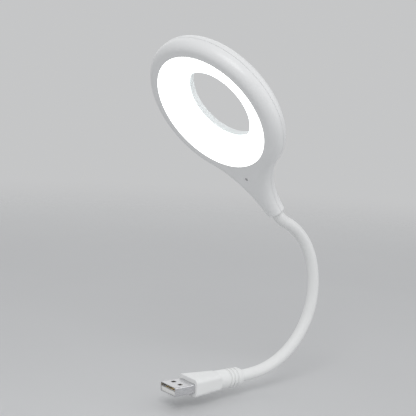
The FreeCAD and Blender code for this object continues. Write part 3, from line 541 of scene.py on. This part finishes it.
def teardrop(inset, end_reach):
    """Solid ring disc with a tail, smaller all round by an inset, with round edges and a thinning tail."""
    flank_steps, ring_steps, slices = 22, 150, 14
    rim_segments, tip_segments = 9, 5
    bm = bmesh.new()
    half = tail_half - inset
    concave = flank_radius + inset
    low = inset - half_head
    height = half_head - inset
    away = half + concave
    sweep = math.atan2(flank_reach, away)
    short = max(flank_reach - end_reach, 0.0)
    begin = math.asin(short / concave)
    first = bm.verts.new((away - concave * math.cos(begin), short - flank_reach, low))
    path = [first]
    if end_reach > flank_reach:
        first.co.y = -end_reach
        path.append(bm.verts.new((half, -flank_reach, low)))
        bm.edges.new(path)
    for centre, angle, steps in (((away, -flank_reach, low), begin - sweep, flank_steps),
                                 ((0, 0, low), math.pi + 2 * sweep, ring_steps),
                                 ((-away, -flank_reach, low), begin - sweep, flank_steps)):
        bmesh.ops.spin(bm, geom=[path[-1]], cent=centre, axis=(0, 0, 1), angle=angle, steps=steps)
        bm.verts.ensure_lookup_table()
        path.append(bm.verts[-1])
    if end_reach > flank_reach:
        tip = bm.verts.new((-half, -end_reach, low))
        bm.edges.new((path[-1], tip))
        path.append(tip)
    bm.edges.new((path[-1], first))
    bottom = bmesh.ops.contextual_create(bm, geom=bm.edges[:])["faces"]
    grown = bmesh.ops.extrude_face_region(bm, geom=bottom, use_keep_orig=True)["geom"]
    bmesh.ops.translate(bm, vec=(0, 0, 2 * height),
                        verts=[part for part in grown if isinstance(part, bmesh.types.BMVert)])
    bmesh.ops.recalc_face_normals(bm, faces=bm.faces)
    rims = [edge for edge in bm.edges if abs(edge.verts[0].co.z - edge.verts[1].co.z) < tiny
            and any(corner.co.y > tiny - end_reach for corner in edge.verts)]
    round_edges(bm, rims, edge_round - inset, rim_segments)
    if not inset:
        tip = [edge for edge in bm.edges if all(corner.co.y < tiny - end_reach for corner in edge.verts)]
        round_edges(bm, tip, end_round, tip_segments)
    for number in range(slices):
        cut_y = -taper_reach - number * taper_run / slices
        bmesh.ops.bisect_plane(bm, geom=bm.verts[:] + bm.edges[:] + bm.faces[:], plane_co=(0, cut_y, 0),
                               plane_no=(0, 1, 0))
    for corner in bm.verts:
        along = max(-corner.co.y - taper_reach, 0.0)
        drop = taper_radius - math.sqrt(taper_radius ** 2 - along ** 2)
        corner.co.z -= drop * (corner.co.z + half_head) / (2 * half_head)
    return bm


def disc(radius, low, high, spot=(0, 0, 0), steps=head_steps):
    """Upright round bar between two heights."""
    bm = lathed([(0, low), (radius, low), (radius, high), (0, high)], steps)
    bmesh.ops.translate(bm, vec=spot, verts=bm.verts)
    return bm


def neck_hole():
    """Bore of the tail's mouth with a rounded lip."""
    lip = 0.15 * mm
    bm = lathed([(0, -overrun), (bore_radius + 2 * lip, -overrun), (bore_radius + lip, 0), (bore_radius, lip),
                 (bore_radius, mouth_length + overrun), (0, mouth_length + overrun)], bore_steps)
    bmesh.ops.transform(bm, verts=bm.verts, matrix=Matrix.Translation((0, -tail_reach, neck_axis))
                        @ Matrix.Rotation(-math.pi / 2, 4, "X"))
    return bm


def rise(inset, level):
    """Round rim that stands out of the back round the hole, smaller by an inset from a level down."""
    steps = 20
    radius = rise_curve - inset
    centre = back_height + rise_curve
    sweep = math.acos((centre - level) / radius)
    angles = [sweep * step / steps for step in range(steps + 1)]
    points = [(rise_start + radius * math.sin(angle), centre - radius * math.cos(angle)) for angle in angles]
    return lathed([(0, points[0][1]), *points, (points[-1][0], 0), (0, 0)], head_steps)


side = 2 * tail_reach
front = carved(teardrop(0.0, tail_reach), "DIFFERENCE", teardrop(wall, tail_reach - mouth_length))
front = carved(front, "INTERSECT", slab((-side, -side, parting + seam_gap), (side, side, side)))
front = carved(front, "DIFFERENCE", disc(lit_radius, half_head - wall - overrun, half_head + overrun))
front = carved(front, "DIFFERENCE", disc(mic_radius, 0, half_head + overrun, (0, -mic_reach, 0), mic_steps))
front = carved(front, "DIFFERENCE", neck_hole())

round_steps = 6
quarter = [math.pi / 2 * step / round_steps for step in range(round_steps + 1)]
wall_clear = hole_radius + wall + 2 * fit
hole_points = [(0, half_head), (wall_clear, half_head), (wall_clear, rim_height - fit),
               (hole_radius, rim_height - fit)]
hole_points += [(rise_start - hole_round * math.cos(angle), back_height + hole_round * (1 - math.sin(angle)))
                for angle in quarter]
hole_points += [(rise_start, back_height - overrun), (0, back_height - overrun)]
column = disc(hole_radius + wall, back_height - overrun, half_head + overrun)
room = carved(teardrop(wall, tail_reach - mouth_length), "UNION", rise(wall, wall - half_head))
back = carved(teardrop(0.0, tail_reach), "UNION", rise(0.0, -half_head))
back = carved(back, "DIFFERENCE", carved(room, "DIFFERENCE", column))
back = carved(back, "INTERSECT", slab((-side, -side, -side), (side, side, parting - seam_gap)))
back = carved(back, "DIFFERENCE", lathed(hole_points, head_steps))
back = carved(back, "DIFFERENCE", neck_hole())

white_abs = moulded("white_abs", (0.86, 0.865, 0.865, 1), (0.83, 0.835, 0.835, 1), roughness=0.36,
                    grain=3000.0, depth=0.018 * mm, Coat_Weight=0.08)
for name, bm, node, slot_name in (("head_front", front, "front_shell", "white_shell"),
                                  ("head_back", back, "rear_cover", "white_cover")):
    bmesh.ops.transform(bm, matrix=to_head, verts=bm.verts)
    shell = finished(name, bm, white_abs, soften=shell_softness)
    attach(shell, "head")
    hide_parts(node)


# Diffuser
# A ring of milky polycarbonate with a round face that turns down into the hole, lit from behind by LEDs. Its
# flange is trapped under the front's bezel, and its inner rim stands on the wall of the hole.

diffuser_wall = 1.2 * mm
led_count = 24
face_steps = 28
inner_steps = 24

edge = lit_radius - fit
across = edge - hole_radius
curve = (across ** 2 + diffuser_depth ** 2) / (2 * diffuser_depth)
curve_height = half_head - curve
inner_curve = curve - diffuser_wall
face_sweep = math.asin(across / curve)
inner_sweep = math.asin((across - diffuser_wall) / inner_curve)
skirt_sweep = math.asin(diffuser_wall / inner_curve)
flange_top = half_head - wall - fit
flange_edge = (lit_radius + ring_radius - edge_round) / 2


def face_arc(radius, start, stop, steps):
    """Points of the diffuser's round face, from angles counted away from its flat edge."""
    angles = [start + (stop - start) * step / steps for step in range(steps + 1)]
    return [(edge - radius * math.sin(angle), curve_height + radius * math.cos(angle)) for angle in angles]


ring_points = face_arc(curve, 0.0, face_sweep, face_steps)
ring_points += [(hole_radius, rim_height), (hole_radius + diffuser_wall, rim_height)]
ring_points += face_arc(inner_curve, inner_sweep, skirt_sweep, inner_steps)
ring_points += [(edge - diffuser_wall, flange_top - diffuser_wall), (flange_edge, flange_top - diffuser_wall),
                (flange_edge, flange_top), (edge, flange_top)]
ring = lathed(ring_points, steps=160, closed=True)
bmesh.ops.transform(ring, matrix=to_head, verts=ring.verts)


def milky_light():
    """Lit milky plastic: even white light, faintly uneven over the LEDs and dimmer at the two rims."""
    grain_scale, grain_share, led_share = 1800.0, 0.06, 0.1
    stops = [(0.0, (0.46, 0.55, 0.55, 1)), (0.12, (0.9, 0.94, 0.95, 1)), (0.4, (1, 1, 1, 1)),
             (0.93, (1, 1, 0.99, 1)), (1.0, (0.8, 0.82, 0.78, 1))]
    material, shader, wire = new_finish("milky_light", Roughness=0.42, Emission_Strength=2.2)
    place = wire.node("ShaderNodeTexCoord", output="Object")
    moved = wire.node("ShaderNodeVectorMath", {"operation": "SUBTRACT"}, {0: place, 1: to_head.translation})
    local = wire.node("ShaderNodeVectorRotate", {"rotation_type": "EULER_XYZ"},
                      {"Vector": moved, "Rotation": to_head.inverted().to_euler("XYZ")})
    across_x, across_y = (wire.node("ShaderNodeSeparateXYZ", None, {0: local}, axis) for axis in ("X", "Y"))
    around = wire.math("ARCTAN2", across_y, across_x)
    radius = wire.math("SQRT", across_x * across_x + across_y * across_y)
    scallop = wire.math("COSINE", around * led_count) * 0.5 + 0.5
    share = (radius - hole_radius) * (1.0 / across)
    glow = wire.node("ShaderNodeValToRGB", {"stops": stops}, {0: share})
    grain = cloud(wire, grain_scale)
    lit = between(wire, scallop * led_share + grain * grain_share, glow, (0.93, 0.96, 0.98, 1))
    feed(shader, "Emission Color", lit)
    feed(shader, "Base Color", between(wire, grain, (0.82, 0.83, 0.83, 1), (0.88, 0.88, 0.87, 1)))
    return material


lit_ring = finished("lit_ring", ring, milky_light())
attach(lit_ring, "head")
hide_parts("diffuser")


# Inner pieces
# Boards, chips, leads, crimps, screws and the microphone in its rubber boot, all closed in by the mouldings.
# They keep the shapes of the solid model and get the finish of the real pieces.

def circuit_board(name, mask, bare, trace_scale):
    """Solder mask over copper: raised traces in a grid of short runs, and dull patches of flux."""
    roughness, flux_scale, flux_gloss = 0.34, 220.0, 0.25
    trace_depth, trace_strength = 0.035 * mm, 0.6
    material, shader, wire = new_finish(name)
    place = wire.node("ShaderNodeTexCoord", output="Object")
    runs = wire.node("ShaderNodeTexBrick", {"offset": 0.4}, {"Vector": place, "Scale": trace_scale,
                                                            "Mortar Size": 0.06}, output="Fac")
    flux = cloud(wire, flux_scale, 4.0)
    feed(shader, "Base Color", between(wire, runs * 0.6 + flux * 0.2, mask, bare))
    feed(shader, "Roughness", roughness + flux * flux_gloss)
    feed(shader, "Normal", dented(wire, runs, trace_depth, trace_strength))
    return material


inner_finishes = {
    "white_mask": circuit_board("white_mask", (0.82, 0.82, 0.8, 1), (0.7, 0.69, 0.62, 1), 260.0),
    "green_mask": circuit_board("green_mask", (0.03, 0.2, 0.09, 1), (0.1, 0.34, 0.16, 1), 300.0),
    "phosphor": moulded("phosphor", (0.95, 0.8, 0.3, 1), (0.88, 0.7, 0.22, 1), 0.4, 5200.0),
    "black_epoxy": moulded("black_epoxy", (0.035, 0.035, 0.04, 1), (0.02, 0.02, 0.022, 1), 0.55, 4200.0),
    "ceramic_chip": moulded("ceramic_chip", (0.46, 0.36, 0.27, 1), (0.36, 0.28, 0.2, 1), 0.45, 5200.0),
    "black_rubber": moulded("black_rubber", (0.04, 0.04, 0.04, 1), (0.025, 0.025, 0.025, 1), 0.7, 3200.0),
    "red_insulation": moulded("red_insulation", (0.55, 0.06, 0.05, 1), (0.45, 0.04, 0.035, 1), 0.4, 2800.0),
    "soft_wire": drawn_metal("soft_wire", (0.5, 0.5, 0.52, 1), (0.38, 0.38, 0.4, 1), 0.4, (0.3, 1.0, 0.3)),
    "turned_aluminium": drawn_metal("turned_aluminium", (0.78, 0.79, 0.8, 1), (0.66, 0.67, 0.68, 1), 0.3,
                                    (1.0, 0.1, 0.1)),
    "zinc_steel": drawn_metal("zinc_steel", (0.66, 0.67, 0.7, 1), (0.52, 0.53, 0.56, 1), 0.33,
                              (1.0, 1.0, 1.0)),
}
finish_of_node = {"led_board": "white_mask", "control_board": "green_mask", "led_chips": "phosphor",
                  "voice_chip": "black_epoxy", "board_parts": "ceramic_chip", "mic_boot": "black_rubber",
                  "microphone": "turned_aluminium", "lower_ferrule": "turned_aluminium",
                  "upper_ferrule": "turned_aluminium", "board_screws": "zinc_steel",
                  "plug_leads": "red_insulation", "head_leads": "red_insulation",
                  "jumper_leads": "red_insulation"}
for number in range(1, len(spans) + 1):
    finish_of_node[f"neck_core_{number}"] = "soft_wire"
    finish_of_node[f"neck_leads_{number}"] = "red_insulation"
for node, finish in finish_of_node.items():
    recoat(node, inner_finishes[finish])


# Stage
# A plain pale floor just under the plug fades into an even pale background. Three soft lamps and the
# background light the object, and the camera stands where the photograph was taken from.

floor_height = -10.0 * mm
floor_reach = 4.0
fade_start = 0.3
fade_end = 1.0
floor_dark = (0.6, 0.605, 0.61, 1)
floor_light = (0.63, 0.635, 0.64, 1)
floor_patches = 9.0
floor_roughness = 0.6
backdrop = (0.56, 0.565, 0.57, 1)
ambient_colour = (0.97, 0.98, 1.0, 1)
ambient_strength = 0.5

floor_mesh = bmesh.new()
bmesh.ops.create_circle(floor_mesh, cap_ends=True, segments=96, radius=floor_reach,
                        matrix=Matrix.Translation((0, 0, floor_height)))
pale_floor, floor_shader, floor_wire = new_finish("pale_floor", Specular_IOR_Level=0.25)
floor_tone = cloud(floor_wire, floor_patches, 4.0)
feed(floor_shader, "Base Color", between(floor_wire, floor_tone, floor_dark, floor_light))
feed(floor_shader, "Roughness", floor_roughness + floor_tone * 0.1)
spot = floor_wire.node("ShaderNodeTexCoord", output="Object")
distance = floor_wire.node("ShaderNodeVectorMath", {"operation": "LENGTH"}, {0: spot}, output="Value")
fade = floor_wire.node("ShaderNodeMapRange", {"interpolation_type": "SMOOTHSTEP"},
                       {"Value": distance, "From Min": fade_start, "From Max": fade_end})
clear = floor_wire.node("ShaderNodeBsdfTransparent")
solid_floor = Wire(floor_wire.tree, floor_shader.outputs[0])
blended = floor_wire.node("ShaderNodeMixShader", None, {0: fade, 1: solid_floor, 2: clear})
floor_output = floor_wire.tree.nodes["Material Output"]
floor_wire.tree.links.new(blended.socket, floor_output.inputs["Surface"])
ground = finished("ground", floor_mesh, pale_floor)

world = bpy.data.worlds.new("studio")
bpy.context.scene.world = world
world.use_nodes = True
sky = Wire(world.node_tree)
rays = world.node_tree.nodes.new("ShaderNodeLightPath")
camera_ray = Wire(world.node_tree, rays.outputs["Is Camera Ray"])
glossy_ray = Wire(world.node_tree, rays.outputs["Is Glossy Ray"])
through_ray = Wire(world.node_tree, rays.outputs["Is Transmission Ray"])
seen = sky.math("MAXIMUM", camera_ray, sky.math("MAXIMUM", glossy_ray, through_ray))
ambient = sky.node("ShaderNodeBackground", None, {"Color": ambient_colour, "Strength": ambient_strength})
pale = sky.node("ShaderNodeBackground", None, {"Color": backdrop, "Strength": 1.0})
both = sky.node("ShaderNodeMixShader", None, {0: seen, 1: ambient, 2: pale})
world.node_tree.links.new(both.socket, world.node_tree.nodes["World Output"].inputs["Surface"])

target = Vector((0.03, 0, 0.08))
for name, place, energy, breadth in (("key_lamp", (-0.45, -0.55, 0.75), 3.8, 0.6),
                                     ("fill_lamp", (0.65, -0.5, 0.35), 1.3, 0.7),
                                     ("rim_lamp", (0.35, 0.7, 0.6), 1.0, 0.9)):
    light = bpy.data.lights.new(name, "AREA")
    light.energy = energy
    light.size = breadth
    lamp = bpy.data.objects.new(name, light)
    lamp.location = place
    lamp.rotation_euler = (target - lamp.location).to_track_quat("-Z", "Y").to_euler()
    bpy.context.scene.collection.objects.link(lamp)

camera_place = Vector((-0.2758, -0.3645, 0.1479))
view_right = Vector((0.79381, -0.60575, 0.05412))
view_up = Vector((0.03734, 0.13737, 0.98981))
view_back = view_right.cross(view_up)
lens = bpy.data.cameras.new("camera")
lens.sensor_width = 36.0
lens.lens = 84.4
lens.clip_start = 0.01
camera = bpy.data.objects.new("camera", lens)
view_turn = Matrix((view_right, view_up, view_back)).transposed()
camera.matrix_world = Matrix.Translation(camera_place) @ view_turn.to_4x4()
bpy.context.scene.collection.objects.link(camera)
bpy.context.scene.camera = camera
bpy.context.scene.view_settings.view_transform = "Standard"
